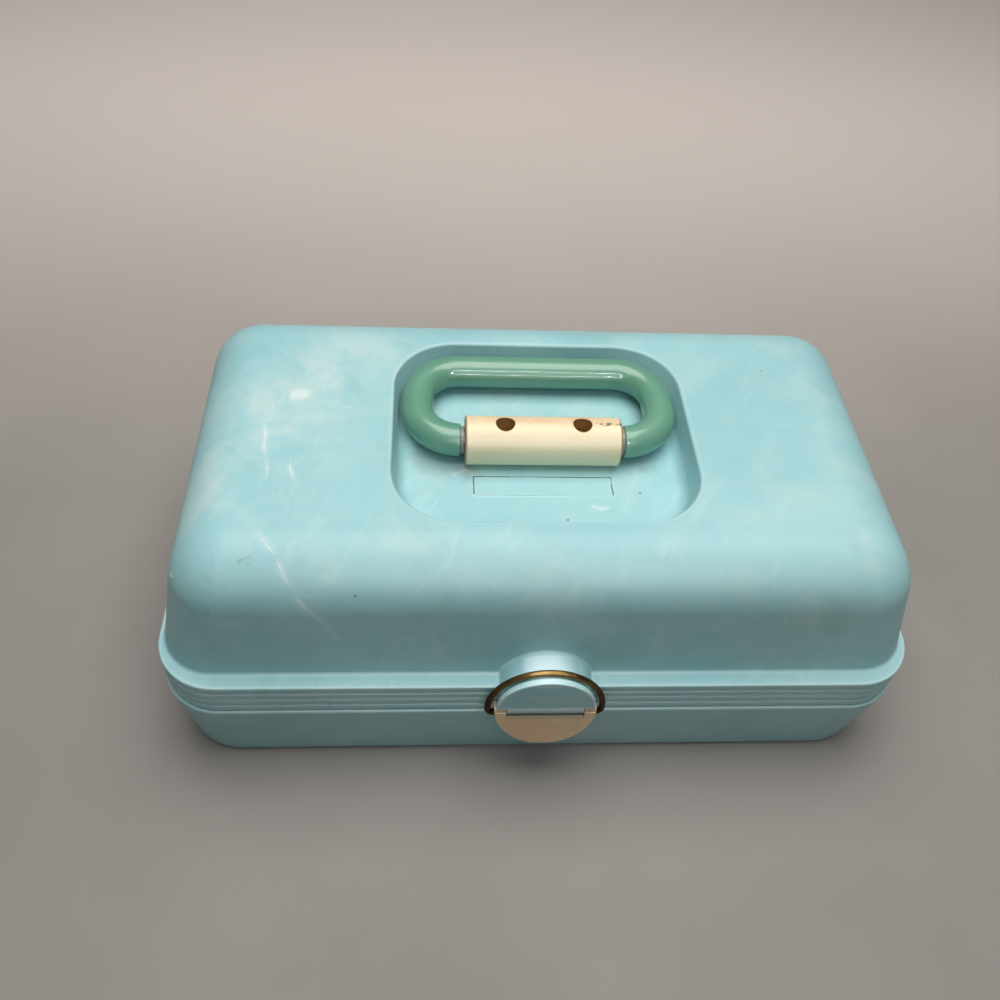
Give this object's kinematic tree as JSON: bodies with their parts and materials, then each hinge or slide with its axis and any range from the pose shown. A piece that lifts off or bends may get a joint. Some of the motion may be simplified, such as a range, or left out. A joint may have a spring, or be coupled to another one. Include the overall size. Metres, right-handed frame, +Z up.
{
  "type": "makeup case",
  "caption": "Moulded makeup case with a domed lid, a swing handle sunk in its top, a wire bail latch, a lid mirror and swing-out trays.",
  "frame": {"origin": "middle of the flat underside of the base", "axes": "+X to the right along the long side, -Y to the latch at the front, +Z up"},
  "size_m": [0.3212, 0.2069, 0.1215],
  "materials": {
    "shell_plastic": "satin pale aqua moulded plastic, scuffed",
    "handle_plastic": "glossy seafoam green moulded plastic",
    "cream_plastic": "satin cream moulded plastic",
    "brass_wire": "aged drawn brass wire",
    "brass_screw": "aged turned brass",
    "steel": "plain zinc-plated steel",
    "frame_plastic": "satin cream moulded plastic",
    "mirror": "silvered glass",
    "tray_plastic": "seafoam green moulded plastic",
    "link_plastic": "cream moulded plastic",
    "pin_plastic": "cream moulded plastic"
  },
  "bodies": {
    "base": {"base_shell": "shell_plastic", "hinge_pin_left": "steel", "hinge_pin_right": "steel", "latch_pin": "steel", "base_link_pins": "pin_plastic"},
    "lid": {"lid_shell": "shell_plastic", "handle_bar": "cream_plastic", "handle_screws": "brass_screw", "handle_washers": "steel", "handle_nuts": "steel", "mirror_frame": "frame_plastic", "mirror_glass": "mirror", "mirror_screws": "steel", "lower_lid_pins": "pin_plastic", "upper_lid_pins": "pin_plastic"},
    "handle": {"handle_loop": "handle_plastic"},
    "latch_lever": {"latch_lever": "cream_plastic"},
    "latch_bail": {"latch_bail": "brass_wire"},
    "tray_links": {"tray_link_left": "link_plastic", "tray_link_right": "link_plastic"},
    "upper_tray": {"upper_tray": "tray_plastic", "upper_link_pins": "pin_plastic"},
    "lower_tray": {"lower_tray": "tray_plastic", "lower_link_pins": "pin_plastic"}
  },
  "joints": [
    {"name": "lid_hinge", "type": "hinge", "parent": "base", "child": "lid", "pos_m": [0, 0.0983, 0.0512], "axis": [-1, 0, 0], "range_deg": [0, 95]},
    {"name": "upper_tray_pivot", "type": "hinge", "parent": "lid", "child": "upper_tray", "pos_m": [0, 0.02909, 0.07105], "axis": [-1, 0, 0], "range_deg": [-95, 0]},
    {"name": "lower_tray_pivot", "type": "hinge", "parent": "lid", "child": "lower_tray", "pos_m": [0, 0.06369, 0.06112], "axis": [-1, 0, 0], "range_deg": [-95, 0]},
    {"name": "tray_link_pivot", "type": "hinge", "parent": "base", "child": "tray_links", "pos_m": [0, 0.01831, 0.0402], "axis": [-1, 0, 0], "range_deg": [0, 95]},
    {"name": "handle_swing", "type": "hinge", "parent": "lid", "child": "handle", "pos_m": [0, -0.0024, 0.111], "axis": [1, 0, 0], "range_deg": [0, 150]},
    {"name": "latch_swing", "type": "hinge", "parent": "base", "child": "latch_lever", "pos_m": [0, -0.0979, 0.0507], "axis": [-1, 0, 0], "range_deg": [0, 90]},
    {"name": "bail_swing", "type": "hinge", "parent": "latch_lever", "child": "latch_bail", "pos_m": [0, -0.0974, 0.0467], "axis": [-1, 0, 0], "range_deg": [-80.1, 0]}
  ],
  "couplings": [
    {"joint": "upper_tray_pivot", "follows": "lid_hinge", "ratio": -1},
    {"joint": "lower_tray_pivot", "follows": "lid_hinge", "ratio": -1},
    {"joint": "tray_link_pivot", "follows": "lid_hinge", "ratio": 1},
    {"joint": "bail_swing", "follows": "latch_swing", "ratio": -0.89}
  ]
}
